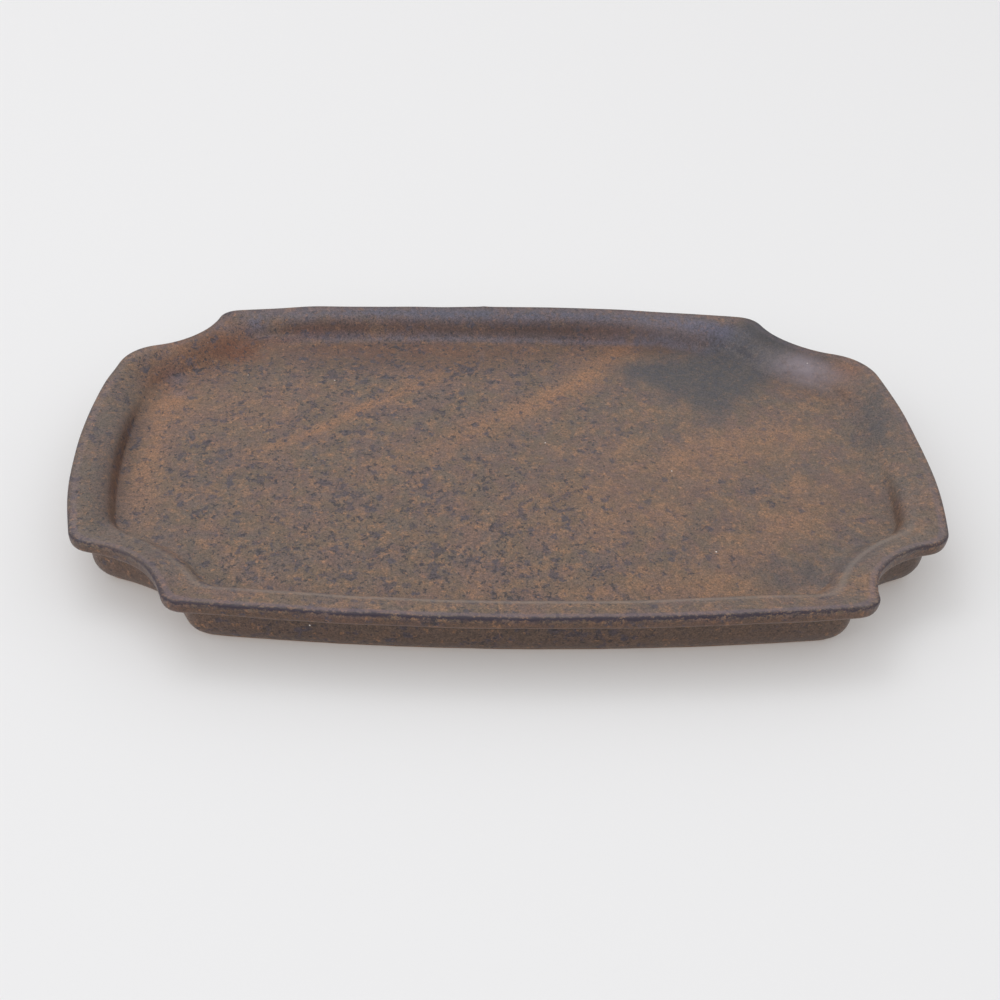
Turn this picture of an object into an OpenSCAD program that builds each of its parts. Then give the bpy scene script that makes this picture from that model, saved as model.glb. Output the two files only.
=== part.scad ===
// Shallow bonsai tray: a low stoneware dish with bowed sides, four hollow
// (inward-curved) corners, a flared rim and an inset foot, under a brown glaze.
// Millimetres. Origin at the centre of the foot's bottom, +X along the length,
// +Z up. The front long side faces -Y.

/* [Overall] */
// Length over the rim
length = 140; // [128:1:160]
// Width over the rim
width = 99.2; // [92:0.4:112]
// Height from the table to the top of the rim
height = 10.6; // [9:0.1:13]

/* [Outline] */
// How far the middle of a long side stands out past its ends
long_bow = 6.7; // [5:0.1:8]
// How far the middle of a short side stands out past its ends
short_bow = 9.2; // [7:0.1:10.5]
// Radius of the hollow corners
notch_r = 16.4; // [14:0.1:18]
// Distance of a hollow corner's centre in from the end of the tray
notch_in_x = 2.8; // [1.5:0.1:4]
// Distance of a hollow corner's centre in from the side of the tray
notch_in_y = 1.6; // [0:0.1:3]
// How uneven the hand-made outline is, 0 is regular
uneven = 1; // [0:0.1:1]

/* [Clay] */
// Width of the strip of clay that makes the foot, at the bottom
foot_w = 4.7; // [3:0.1:7]
// Depth of the hollow under the tray, inside the foot
foot_recess = 3.2; // [2.4:0.1:3.8]
// How much longer the foot is than an even offset of the rim
foot_stretch = 1.012; // [1:0.002:1.014]

/* [Mesh] */
// Steps along half of a long side
n_long = 7; // [5:1:12]
// Steps round each small corner
n_cusp = 3; // [2:1:5]
// Steps round a hollow corner
n_notch = 8; // [6:1:12]
// Steps along half of a short side
n_short = 4; // [3:1:8]

/* [Hidden] */

a = length / 2;
b = width / 2;
zs = height / 10.6;
z_joint = foot_recess * zs;      // plane where the foot strip is luted on
d_slab = 9.2;                    // edge of the floor slab, in from the rim
z_slab = 6.8;                    // top of the floor slab, before scaling
n_q = n_long + 2 * n_cusp + n_notch + n_short;
n_all = 4 * n_q;

// Bows of the front and back sides.
bow_f = long_bow + 0.1 * uneven;
bow_b = long_bow - 0.1 * uneven;

// Hollow corners: shift of the centre in x and y, change of the radius, the
// rounding at the long-side and short-side ends of the hollow, and the change
// of the short side's bow towards that corner.
// Order: back right, front right, front left, back left.
corner = [
    [ 0.3,  0.4,  0.7, 4.4, 9.5, -3.8],
    [-0.1, -3.9, -2.1, 3.2, 4.2, -0.4],
    [-0.3,  0.1,  0.1, 3.3, 3.5,  0.35],
    [-0.6, -1.7, -1.2, 3.7, 9.3, -1.5]];

// Section rows: [inward distance from the rim's edge, height along the sides,
// height in the hollow corners, least rounding of the small corners,
// stretch (0 or 1)].
// Outer face of the glaze, from the floor over the rim to the foot.
glaze_rows = [
    [9.2,  7.15, 7.15, 6.0, 0],
    [7.7,  7.30, 7.42, 6.0, 0],
    [6.95, 7.85, 7.95, 6.0, 0],
    [6.2,  9.00, 8.60, 6.0, 0],
    [5.4,  9.78, 9.20, 5.2, 0],
    [4.3, 10.08, 9.75, 4.8, 0],
    [1.8, 10.38, 10.3, 3.6, 0],
    [0.1, 10.60, 10.6, 0, 0],
    [0.0, 10.40, 10.4, 0, 0],
    [0.1,  9.20, 9.20, 0, 0],
    [0.7,  8.20, 8.20, 0, 0],
    [3.1,  7.30, 7.30, 2.6, 1],
    [4.0,  6.50, 6.50, 2.6, 1],
    [4.25, 4.40, 4.40, 2.6, 1],
    [4.55, 3.00, 3.00, 2.6, 1],
    [5.0,  1.70, 1.70, 2.6, 1],
    [5.95, 0.55, 0.55, 2.6, 1]];
// Face of the clay under the glaze, in the same direction.
clay_rows = [
    [9.2,  6.80, 6.80, 6.0, 0],
    [7.55, 6.95, 7.08, 6.0, 0],
    [6.7,  7.60, 7.68, 6.0, 0],
    [5.95, 8.75, 8.34, 6.0, 0],
    [5.2,  9.46, 8.90, 5.2, 0],
    [4.2,  9.73, 9.40, 4.8, 0],
    [1.75, 10.03, 9.95, 3.6, 0],
    [0.45, 10.18, 10.16, 0, 0],
    [0.45, 9.30, 9.30, 0, 0],
    [0.95, 8.48, 8.48, 0, 0],
    [3.3,  7.60, 7.60, 2.6, 1],
    [4.35, 6.65, 6.65, 2.6, 1],
    [4.6,  4.40, 4.40, 2.6, 1]];
// Row on the joint plane between wall and foot, then the foot's outer face.
joint_row = [4.9, foot_recess, foot_recess, 2.6, 1];
foot_rows = [
    joint_row,
    [5.35, 1.90, 1.90, 2.6, 1],
    [5.95, 0.55, 0.55, 2.6, 1],
    [6.3,  0.20, 0.20, 2.6, 1],
    [6.8,  0.00, 0.00, 2.6, 1],
    [6.8 + foot_w, 0.00, 0.00, 3.5, 1],
    [7.1 + foot_w, 0.40, 0.40, 3.5, 1],
    [7.3 + foot_w, foot_recess, foot_recess, 3.5, 1]];
n_under = 2;                     // foot rows that lie under the glaze, past the joint row

// One of the two crossings of the circles (p, r) and (q, s), k is 1 or -1.
function cross_pt(p, r, q, s, k) =
    let (v = q - p, d = norm(v), e = v / d,
         t = (r * r - s * s + d * d) / (2 * d),
         h = sqrt(max(r * r - t * t, 0)))
    p + t * e + k * h * [-e[1], e[0]];
function ang(v) = atan2(v[1], v[0]);
function pos_ang(v) = ang(v) < 0 ? ang(v) + 360 : ang(v);
function arc(c, r, a0, a1, n, last) =
    [for (i = [0 : n - 1 + last]) let (t = a0 + (a1 - a0) * i / n) c + r * [cos(t), sin(t)]];

// A quarter of the outline, from the middle of a long side to the middle of a
// short side, d in from the rim's edge, in the quarter where x and y are positive.
function quarter(d, k, bow_long, least) =
    let (c = corner[k],
         bow_short = short_bow + uneven * c[5],
         r1 = max(c[3], least), r2 = max(c[4], least),
         rl = (a * a + bow_long * bow_long) / (2 * bow_long),
         rs = (b * b + bow_short * bow_short) / (2 * bow_short),
         cl = [0, b - rl], cs = [a - rs, 0],
         nc = [a - notch_in_x + uneven * c[0], b - notch_in_y + uneven * c[1]],
         nr = notch_r + uneven * c[2] + d,
         f1 = cross_pt(cl, rl - d - r1, nc, nr + r1, 1),
         f2 = cross_pt(cs, rs - d - r2, nc, nr + r2, -1),
         t1 = ang(f1 - cl), t2 = ang(f2 - cs))
    concat(
        arc(cl, rl - d, 90, t1, n_long, 0),
        arc(f1, r1, t1, ang(nc - f1), n_cusp, 0),
        arc(nc, nr, pos_ang(f1 - nc), pos_ang(f2 - nc), n_notch, 0),
        arc(f2, r2, ang(nc - f2), t2, n_cusp, 0),
        arc(cs, rs - d, t2, 0, n_short, 1));

// The whole outline, clockwise from the middle of the back.
function flip(q, sx, sy) = [for (p = q) [p[0] * sx, p[1] * sy]];
function back_to_front(q) = [for (i = [len(q) - 1 : -1 : 0]) q[i]];
function no_last(q) = [for (i = [0 : len(q) - 2]) q[i]];
function outline(d, least) = concat(
    no_last(quarter(d, 0, bow_b, least)),
    no_last(back_to_front(flip(quarter(d, 1, bow_f, least), 1, -1))),
    no_last(flip(quarter(d, 2, bow_f, least), -1, -1)),
    no_last(back_to_front(flip(quarter(d, 3, bow_b, least), -1, 1))));

// Share of the hollow-corner section at each step of a quarter.
function share_at(i) =
    i <= n_long ? 0
    : i < n_long + n_cusp ? 0.3 * (i - n_long) / n_cusp
    : i <= n_long + n_cusp + n_notch ? 0.3 + 0.7 * sin(180 * (i - n_long - n_cusp) / n_notch)
    : i < n_q - n_short ? 0.3 * (n_q - n_short - i) / n_cusp
    : 0;
function share(j) =
    let (m = j % (2 * n_q), i = m <= n_q ? m : 2 * n_q - m) share_at(i);

// A row as a ring of points in space.
function ring(row) =
    let (o = outline(row[0], row[3]), st = row[4] == 1 ? foot_stretch : 1)
    [for (j = [0 : n_all - 1])
        [o[j][0] * st, o[j][1], zs * (row[1] + (row[2] - row[1]) * share(j))]];
function rings(rows) = [for (r = rows) for (p = ring(r)) p];

// Two triangles for each step of the band between ring i and ring k. The
// slant is 0 or 1, and says which way the shared edge runs.
function band(i, k, slant) = [for (j = [0 : n_all - 1])
    let (m = (j + 1) % n_all, p = i * n_all + j, q = i * n_all + m,
         r = k * n_all + m, s = k * n_all + j)
    each (slant == 0 ? [[p, r, q], [p, s, r]] : [[p, s, q], [q, s, r]])];
function fan(i, hub, up) = [for (j = [0 : n_all - 1])
    let (m = (j + 1) % n_all, p = i * n_all + j, q = i * n_all + m)
    up ? [p, q, hub] : [p, hub, q]];

module closed_section(rows) {
    n = len(rows);
    polyhedron(points = rings(rows),
               faces = [for (i = [0 : n - 1]) each band(i, (i + 1) % n, 0)], convexity = 8);
}

// Flat slab of clay inside the wall: its bottom is the hollow under the tray.
module floor_slab() {
    color([0.62, 0.47, 0.36])
    translate([0, 0, z_joint])
        linear_extrude(height = z_slab * zs - z_joint, convexity = 4)
            polygon(outline(d_slab, 6));
}

// Strip of clay round the slab, drawn up and out into the flared rim.
module wall_rim() {
    color([0.56, 0.42, 0.33])
    closed_section(concat(clay_rows, [joint_row, [d_slab, foot_recess, foot_recess, 6.0, 0]]));
}

// Strip of clay under the wall and slab, left bare where it stands.
module foot_ring() {
    color([0.50, 0.40, 0.33])
    closed_section(foot_rows);
}

// Fired glaze over all of the clay that shows, thinning out above the foot's bottom.
module glaze_coat() {
    under = concat(clay_rows, [for (i = [0 : n_under - 1]) foot_rows[i]]);
    up = len(under);
    inner = [for (i = [up - 1 : -1 : 0]) under[i]];
    rows = concat(glaze_rows, inner);
    m = len(glaze_rows);
    n = len(rows);
    hub = n * n_all;
    color([0.45, 0.33, 0.26])
    polyhedron(
        points = concat(rings(rows), [[0, 0, glaze_rows[0][1] * zs], [0, 0, z_slab * zs]]),
        faces = concat(
            [for (i = [0 : n - 2]) each band(i, i + 1, i < m ? 0 : 1)],
            fan(0, hub, true),
            fan(n - 1, hub + 1, false)),
        convexity = 8);
}

floor_slab();
wall_rim();
foot_ring();
glaze_coat();
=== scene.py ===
import bpy
import bmesh
import math
import numpy as np
from mathutils import Matrix


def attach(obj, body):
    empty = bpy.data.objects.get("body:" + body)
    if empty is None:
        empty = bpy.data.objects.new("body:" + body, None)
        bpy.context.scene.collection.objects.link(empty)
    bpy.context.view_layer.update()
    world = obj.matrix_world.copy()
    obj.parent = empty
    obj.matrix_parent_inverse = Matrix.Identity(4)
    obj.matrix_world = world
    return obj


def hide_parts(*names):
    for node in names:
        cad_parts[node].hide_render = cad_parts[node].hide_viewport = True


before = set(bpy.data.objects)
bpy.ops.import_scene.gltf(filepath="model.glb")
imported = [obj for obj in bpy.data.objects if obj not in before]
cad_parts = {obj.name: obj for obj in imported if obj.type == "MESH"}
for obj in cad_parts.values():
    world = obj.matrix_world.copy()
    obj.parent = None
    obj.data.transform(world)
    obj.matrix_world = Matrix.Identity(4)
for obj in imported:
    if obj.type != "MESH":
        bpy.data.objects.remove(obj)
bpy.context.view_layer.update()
scene = bpy.context.scene
MM = 0.001

# ================================================================ camera
AZ, EL, ROLL = map(math.radians, (-1.39, 33.0, 1.457))
back = np.array([math.sin(AZ) * math.cos(EL), -math.cos(AZ) * math.cos(EL), math.sin(EL)])
pos = np.array([-9.565, -2.928, 0.0]) + back * 266.65
rt = np.cross(-back, [0, 0, 1.0])
rt /= np.linalg.norm(rt)
up = np.cross(rt, -back)
r2 = math.cos(ROLL) * rt + math.sin(ROLL) * up
u2 = -math.sin(ROLL) * rt + math.cos(ROLL) * up
cam_data = bpy.data.cameras.new("camera")
cam = bpy.data.objects.new("camera", cam_data)
scene.collection.objects.link(cam)
m = Matrix.Identity(4)
for i in range(3):
    m[i][0], m[i][1], m[i][2], m[i][3] = r2[i], u2[i], back[i], pos[i] * MM
cam.matrix_world = m
cam_data.sensor_width = 36.0
cam_data.lens = 1.58007 * 36.0
cam_data.shift_x = 0.0559
cam_data.clip_start, cam_data.clip_end = 0.01, 20
scene.camera = cam
scene.view_settings.view_transform = "Standard"
scene.view_settings.look = "None"

# ================================================================ outline
# The same rule as the CAD: four bowed sides, and at each corner a hollow arc
# joined to the sides by small round cusps. d is the distance in from the rim's edge.
A, B = 70.0, 49.6
BOW_F, BOW_B = 6.8, 6.6
# hollow's centre x, centre y, radius, rounding at the long side, rounding at the short side, the short side's bow
CORNER = [(67.5, 48.4, 17.1, 4.4, 9.5, 5.4), (67.1, 44.1, 14.3, 3.2, 4.2, 8.8),
          (66.9, 48.1, 16.5, 3.3, 3.5, 9.55), (66.6, 46.3, 15.2, 3.7, 9.3, 7.7)]
NL, NF, NN, NS = 62, 16, 50, 36
NQ = NL + 2 * NF + NN + NS
NA = 4 * NQ
STRETCH = 0.012


def crossing(p, r, q, s):
    v = q - p
    d = math.hypot(v[0], v[1])
    e = v / d
    t = (r * r - s * s + d * d) / (2 * d)
    h = math.sqrt(max(r * r - t * t, 0))
    n = np.array([-e[1], e[0]])
    return p + t * e + h * n, p + t * e - h * n


def quarter(d, k, bow_l, least):
    cx, cy, rad, fa, fb, bow_s = CORNER[k]
    ra, rb = max(fa, least), max(fb, least)
    rl = (A * A + bow_l ** 2) / (2 * bow_l)
    rs = (B * B + bow_s ** 2) / (2 * bow_s)
    cl, cs, nc, nr = np.array([0, B - rl]), np.array([A - rs, 0]), np.array([cx, cy]), rad + d
    f1 = min(crossing(cl, rl - d - ra, nc, nr + ra), key=lambda p: p[0])
    f2 = min(crossing(cs, rs - d - rb, nc, nr + rb), key=lambda p: p[1])
    ang = lambda v: math.atan2(v[1], v[0])
    out = []

    def arc(c, r, a0, a1, n, last=0):
        t = a0 + (a1 - a0) * np.arange(n + last) / n
        out.append(c + r * np.c_[np.cos(t), np.sin(t)])
    t1, t2 = ang(f1 - cl), ang(f2 - cs)
    arc(cl, rl - d, math.pi / 2, t1, NL)
    arc(f1, ra, t1, ang(nc - f1), NF)
    arc(nc, nr, ang(f1 - nc) % (2 * math.pi), ang(f2 - nc) % (2 * math.pi), NN)
    arc(f2, rb, ang(nc - f2), t2, NF)
    arc(cs, rs - d, t2, 0.0, NS, 1)
    return np.vstack(out)


def outline(d, least=0.0):
    q = [quarter(d, 0, BOW_B, least),
         (quarter(d, 1, BOW_F, least) * [1, -1])[::-1],
         quarter(d, 2, BOW_F, least) * [-1, -1],
         (quarter(d, 3, BOW_B, least) * [-1, 1])[::-1]]
    return np.vstack([t[:-1] for t in q])


def soften(v, times):
    for _ in range(times):
        v = 0.5 * v + 0.25 * (np.roll(v, 1, 0) + np.roll(v, -1, 0))
    return v


def hollow_share():
    """0 along the sides, rising to 1 in the middle of each hollow corner."""
    i = np.arange(NQ + 1)
    c0, c1 = NL, NL + NF
    c2, c3 = NL + NF + NN, NL + 2 * NF + NN
    w = np.interp(i, [0, c0 - 8, c1, c1 + 1], [0, 0, 0.3, 0.3])
    w = np.where((i > c1) & (i < c2), 0.3 + 0.7 * np.sin(np.pi * (i - c1) / NN), w)
    w = np.where(i >= c2, np.interp(i, [c2, c3 + 8, NQ], [0.3, 0, 0]), w)
    w = np.r_[w[:-1], w[::-1][:-1], w[:-1], w[::-1][:-1]]
    return soften(w, 30)


SHARE = hollow_share()
# the back corners slope in more evenly than the front ones
RAMP = SHARE * soften(np.repeat([1.0, 0.75, 0.5, 1.0], NQ), 40)

# the wall is thrown softer along the back and along the right side
_i = np.arange(NA)
SOFT_R = soften(np.interp(_i, [NL + NF + NN - 8, NL + 2 * NF + NN + 4, NQ + 8, NQ + 30], [0.0, 1.0, 0.95, 0.0])
                + np.interp(_i, [2 * NQ - 50, 2 * NQ - 25, 2 * NQ + 25, 2 * NQ + 50], [0.0, 0.25, 0.25, 0.0]), 60)
SOFT_B = soften(np.interp(_i, [0, 30, 55, 80, 96], [0.80, 0.66, 0.78, 0.75, 0.0])
                + np.interp(_i, [NA - 96, NA - 80, NA - 55, NA - 30, NA], [0.0, 0.7, 0.9, 1.0, 0.82]) * (_i > NA / 2), 24)

# the back left corner's slope reaches round on to both sides, the front right one's on to the front
REACH = (1 - SHARE) * soften(np.interp(_i, [3 * NQ + 8, 3 * NQ + 28, 4 * NQ - NL - 4, 4 * NQ - NL + 12], [0.0, 0.8, 0.8, 0.0])
                             + np.interp(_i, [2 * NQ - NL - NF - 26, 2 * NQ - NL - NF - 8, 2 * NQ - NL - 6, 2 * NQ - NL + 8], [0.0, 0.55, 0.55, 0.0]), 30)

# Handwork: slow waves made of a few sines with fixed phases.
rng = np.random.default_rng(17)


def waves(n, lo, hi):
    k = rng.uniform(lo, hi, n)
    th, ph = rng.uniform(0, 2 * np.pi, n), rng.uniform(0, 2 * np.pi, n)
    am = rng.uniform(0.5, 1.0, n)
    am /= np.sqrt((am ** 2).sum() / 2)
    return lambda x, y: sum(a * np.sin(2 * np.pi * q * (x * np.cos(t) + y * np.sin(t)) + p)
                            for a, q, t, p in zip(am, k, th, ph))


wave_long = waves(5, 1 / 75, 1 / 34)
wave_mid = waves(7, 1 / 26, 1 / 12)
wave_short = waves(9, 1 / 7, 1 / 3)
wave_edge = waves(7, 1 / 30, 1 / 9)
EDGE = outline(0.0)
SIDEWAYS = 0.05 * wave_edge(EDGE[:, 0], EDGE[:, 1]) + 0.015 * wave_short(EDGE[:, 0], EDGE[:, 1])
# thumbed in or left out a little by hand near the back corners: x, y, how far out, reach
for _x, _y, _a, _w in ((-68.4, 23.8, -0.42, 3.4), (-69.8, 9.0, 0.14, 6.0), (-64.0, 31.5, 0.18, 3.2),
                       (70.0, 12.0, 0.24, 6.0), (65.3, 31.0, 0.30, 1.8), (68.0, 26.5, -0.12, 2.2)):
    SIDEWAYS = SIDEWAYS + _a * np.exp(-((EDGE[:, 0] - _x) ** 2 + (EDGE[:, 1] - _y) ** 2) / _w ** 2)
SIDEWAYS = soften(SIDEWAYS, 12)
# the foot stands a little further out at the right end and at the very left
FOOT_OUT = soften(0.9 * np.clip((EDGE[:, 0] - 22) / 34, 0, 1) - 0.45 * np.clip((-EDGE[:, 0] - 56) / 6, 0, 1), 20)
UPWARD = 0.05 * wave_long(EDGE[:, 0], EDGE[:, 1]) + 0.035 * wave_mid(EDGE[:, 0], EDGE[:, 1])
UPWARD = UPWARD + (EDGE[:, 1] > 30) * (0.28 * np.exp(-((EDGE[:, 0] + 34) / 5) ** 2) + 0.22 * np.exp(-((EDGE[:, 0] - 20) / 15) ** 2)
                                       - 0.12 * np.exp(-((EDGE[:, 0] + 9) / 8) ** 2))
LIPDROP = 0.07 * wave_mid(EDGE[:, 0] + 31, EDGE[:, 1] - 17)


GRID = np.arange(-1.0, 12.0, 0.05)
BELL = np.exp(-0.5 * (np.arange(-20, 21) * 0.05 / 0.28) ** 2)


def eased(xs, ys):
    """A table of corners rounded off, looked up at d."""
    t = np.convolve(np.interp(GRID, xs, ys), BELL / BELL.sum(), "same")
    t[:20], t[-20:] = ys[0], ys[-1]
    return lambda d: float(np.interp(d, GRID, t))


Z_RAMP = eased([-1, 0.9, 1.9, 3.0, 4.0, 5.0, 6.0, 7.0, 8.0, 9.0, 9.4, 12], [10.5, 10.49, 10.29, 9.87, 9.42, 8.93, 8.45, 8.0, 7.62, 7.34, 7.26, 7.1])
Z_RIGHT = eased([-1, 1.0, 1.9, 3.0, 4.0, 5.0, 6.0, 7.0, 8.0, 8.6, 9.0, 9.4, 12], [10.5, 10.49, 10.38, 10.18, 9.87, 9.41, 8.86, 8.28, 7.74, 7.48, 7.35, 7.26, 7.1])
Z_BACK = eased([-1, 0.9, 1.9, 2.6, 3.3, 3.9, 4.5, 5.1, 5.7, 6.3, 6.9, 7.4, 7.9, 8.4, 8.9, 9.4, 12],
               [10.5, 10.49, 10.37, 10.24, 10.05, 9.80, 9.46, 9.07, 8.65, 8.22, 7.84, 7.57, 7.38, 7.27, 7.21, 7.18, 7.15])


def ring(row, hand=1.0):
    d, za, zb, least, st = row
    o = soften(outline(d, least), 2 + int(2.2 * min(max(d, 0), 9)))
    t = np.roll(o, -1, 0) - np.roll(o, 1, 0)
    t /= np.hypot(t[:, 0], t[:, 1])[:, None]
    z = za + (zb - za) * SHARE
    # only the face that looks up is reshaped, with the clay under it
    if d > 0.5 and za > 6.6 and za > z_side(d) - 1.2:
        ease = min(1.0, (d - 0.5) / 0.7)
        z = z + ease * ((Z_RAMP(d) - z_corner(d)) * RAMP + (Z_RAMP(d) - z_side(d)) * REACH
                        + ((Z_RIGHT(d) - z_side(d)) * SOFT_R + (Z_BACK(d) - z_side(d)) * SOFT_B) * (1 - SHARE))
    hi = np.clip((z - 7.3) / 2.6, 0, 1)
    out = np.clip(1 - d / 3.0, 0, 1)
    o = o + hand * (SIDEWAYS * out)[:, None] * np.c_[-t[:, 1], t[:, 0]]
    z = z + hand * (UPWARD * hi + LIPDROP * np.exp(-((z - 8.1) / 0.5) ** 2) * (d < 2.2))
    if d < 1.2 and za > 9.8:
        z = z + 0.10 * np.exp(-((o[:, 0] + 1.5) / 0.7) ** 2 - (d / 0.6) ** 2) * (o[:, 1] > 40)
    return np.c_[o[:, 0] * (1 + STRETCH * st) + FOOT_OUT * st, o[:, 1], z]


def spline(ctrl, step):
    """A smooth curve through rows of numbers; the first two columns are the section."""
    c = np.array(ctrl, float)
    seg = np.maximum(np.hypot(np.diff(c[:, 0]), np.diff(c[:, 1])), 1e-6)
    t = np.r_[0, np.cumsum(np.sqrt(seg))]
    h = np.diff(t)
    sl = np.diff(c, axis=0) / h[:, None]
    m = np.vstack([sl[:1], (sl[:-1] * h[1:, None] + sl[1:] * h[:-1, None]) / (h[:-1] + h[1:])[:, None], sl[-1:]])
    rows = []
    for j in range(len(c) - 1):
        n = max(2, int(math.ceil(seg[j] / step)))
        for q in range(n):
            s = q / n
            rows.append((2 * s ** 3 - 3 * s ** 2 + 1) * c[j] + (s ** 3 - 2 * s ** 2 + s) * h[j] * m[j]
                        + (-2 * s ** 3 + 3 * s ** 2) * c[j + 1] + (s ** 3 - s ** 2) * h[j] * m[j + 1])
    rows.append(c[-1])
    return np.array(rows)


def inward(rows, gap, end_taper=1.0):
    """The section moved into the clay by gap, with the folds at tight bends taken out."""
    sec = np.r_[0, np.cumsum(np.hypot(np.diff(rows[:, 0]), np.diff(rows[:, 1])))]
    out = []
    for i in range(len(rows)):
        a, b = rows[max(i - 2, 0)], rows[min(i + 2, len(rows) - 1)]
        g = gap * min(1.0, (sec[-1] - sec[i]) / end_taper)
        ta = (b - a)[:2] / np.hypot(*(b - a)[:2])
        tb = (b - a)[[0, 2]] / np.hypot(*(b - a)[[0, 2]])
        p = rows[i].copy()
        p[0] += -g * ta[1]
        p[1] += g * ta[0]
        p[2] += g * tb[0]
        if np.hypot(rows[:, 0] - p[0], rows[:, 1] - p[1]).min() > 0.93 * g - 1e-6:
            out.append(p)
    return np.array(out)


# ================================================================ mesh helpers
def make(name, verts, faces, attrs=None):
    me = bpy.data.meshes.new(name)
    me.from_pydata((np.asarray(verts) * MM).tolist(), [], faces)
    for k, v in (attrs or {}).items():
        a = me.attributes.new(k, "FLOAT", "POINT")
        a.data.foreach_set("value", np.asarray(v, np.float32))
    bm = bmesh.new()
    bm.from_mesh(me)
    bmesh.ops.recalc_face_normals(bm, faces=bm.faces)
    bm.to_mesh(me)
    bm.free()
    me.polygons.foreach_set("use_smooth", [True] * len(me.polygons))
    me.update()
    ob = bpy.data.objects.new(name, me)
    scene.collection.objects.link(ob)
    return ob


def band(a, b, n=NA):
    j = np.arange(n)
    q = (j + 1) % n
    return np.c_[a + j, a + q, b + q, b + j].tolist()


class Sheet:
    """Collects rings of points and the faces between them."""

    def __init__(self):
        self.v, self.f, self.n, self.info = [], [], 0, []

    def add(self, pts, info=None):
        start = self.n
        self.v.append(pts)
        self.info.append(np.full(len(pts), np.nan) if info is None else np.full(len(pts), float(info)))
        self.n += len(pts)
        return start

    def join(self, a, b, n=NA):
        self.f += band(a, b, n)

    def disc(self, start, rim, level, rings, lift=None, power=6, info=None):
        """Fills in from a ring to its middle with ever fewer points."""
        n, prev = len(rim), start
        pts = rim.copy()
        for q in range(1, rings):
            t = 1 - q / rings
            p = rim * [t, t, 1]
            p[:, 2] = level + (rim[:, 2] - level) * t ** power
            p = np.c_[soften(p[:, :2], int(q * 0.6)), p[:, 2]]
            p = p[::NA // n]
            want = n
            if t < 0.62 * n / NA and n % 2 == 0 and n > 50:
                want = n // 2
                p = p[::2]
            if lift is not None:
                p[:, 2] += lift(p[:, 0], p[:, 1])
            new = self.add(p, info)
            if want == n:
                self.join(prev, new, n)
            else:
                for j in range(want):
                    a0, a1, a2 = prev + 2 * j, prev + 2 * j + 1, prev + (2 * j + 2) % n
                    b0, b1 = new + j, new + (j + 1) % want
                    self.f += [[a0, a1, b0], [a1, a2, b1, b0]]
            n, prev = want, new
        c = np.array([[0, 0, level]])
        if lift is not None:
            c[:, 2] += lift(c[:, 0], c[:, 1])
        mid = self.add(c, info)
        self.f += [[prev + j, prev + (j + 1) % n, mid] for j in range(n)]

    def done(self):
        return np.vstack(self.v), self.f, np.concatenate(self.info)


# ================================================================ sections
# inward distance, height on the sides, height in the hollow corners, least rounding, stretch
GLAZE = [
    (9.4, 7.15, 7.16, 6.0, 0), (8.8, 7.155, 7.23, 6.0, 0), (8.25, 7.17, 7.34, 6.0, 0), (7.8, 7.205, 7.52, 6.0, 0),
    (7.45, 7.28, 7.72, 6.0, 0), (7.2, 7.42, 7.90, 6.0, 0), (7.02, 7.64, 8.05, 6.0, 0), (6.86, 7.95, 8.19, 6.0, 0),
    (6.68, 8.34, 8.35, 6.0, 0), (6.48, 8.74, 8.52, 6.0, 0), (6.24, 9.14, 8.71, 6.0, 0), (5.93, 9.50, 8.93, 5.8, 0),
    (5.52, 9.78, 9.18, 5.5, 0), (5.1, 9.93, 9.40, 5.2, 0), (4.6, 10.03, 9.62, 5.0, 0), (4.0, 10.12, 9.83, 4.7, 0), (3.0, 10.25, 10.07, 4.2, 0), (1.9, 10.37, 10.29, 3.0, 0),
    (1.0, 10.49, 10.46, 1.5, 0), (0.5, 10.555, 10.54, 0.5, 0), (0.22, 10.57, 10.56, 0, 0), (0.06, 10.51, 10.50, 0, 0),
    (0.0, 10.36, 10.36, 0, 0), (0.0, 10.1, 10.1, 0, 0), (0.03, 9.75, 9.75, 0, 0), (0.08, 9.35, 9.35, 0, 0),
    (0.16, 8.98, 8.98, 0, 0), (0.3, 8.62, 8.62, 0, 0), (0.55, 8.36, 8.36, 0, 0), (1.0, 8.15, 8.15, 0.8, 0.2),
    (1.7, 7.93, 7.93, 1.6, 0.5), (2.45, 7.64, 7.64, 2.2, 0.8), (3.1, 7.28, 7.28, 2.6, 1), (3.62, 6.82, 6.82, 2.6, 1),
    (3.95, 6.25, 6.25, 2.6, 1), (4.12, 5.5, 5.5, 2.6, 1), (4.2, 4.7, 4.7, 2.6, 1), (4.29, 3.9, 3.9, 2.6, 1),
    (4.43, 3.1, 3.1, 2.6, 1), (4.68, 2.35, 2.35, 2.6, 1), (5.02, 1.65, 1.65, 2.6, 1), (5.44, 1.05, 1.05, 2.6, 1),
    (5.95, 0.56, 0.56, 2.6, 1)]
glaze_rows = spline(GLAZE, 0.15)
sec = np.r_[0, np.cumsum(np.hypot(np.diff(glaze_rows[:, 0]), np.diff(glaze_rows[:, 1])))]
i_arris = int(np.argmin(np.hypot(glaze_rows[:, 0] - 0.12, glaze_rows[:, 1] - 10.55)))
sec -= sec[i_arris]
top_face = glaze_rows[:i_arris + 1][::-1]
z_side = lambda d: float(np.interp(d, top_face[:, 0], top_face[:, 1]))
z_corner = lambda d: float(np.interp(d, top_face[:, 0], top_face[:, 2]))
under_glaze = inward(glaze_rows, 0.35)[::-3]
clay_top = inward(glaze_rows, 0.36)[::3]


def floor_lift(x, y):
    r = np.clip(1 - np.hypot(x / 58, y / 38), 0, 1)
    return r ** 0.5 * (0.035 * wave_long(x, y) + 0.02 * wave_mid(x, y)) - 0.05 * r


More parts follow.
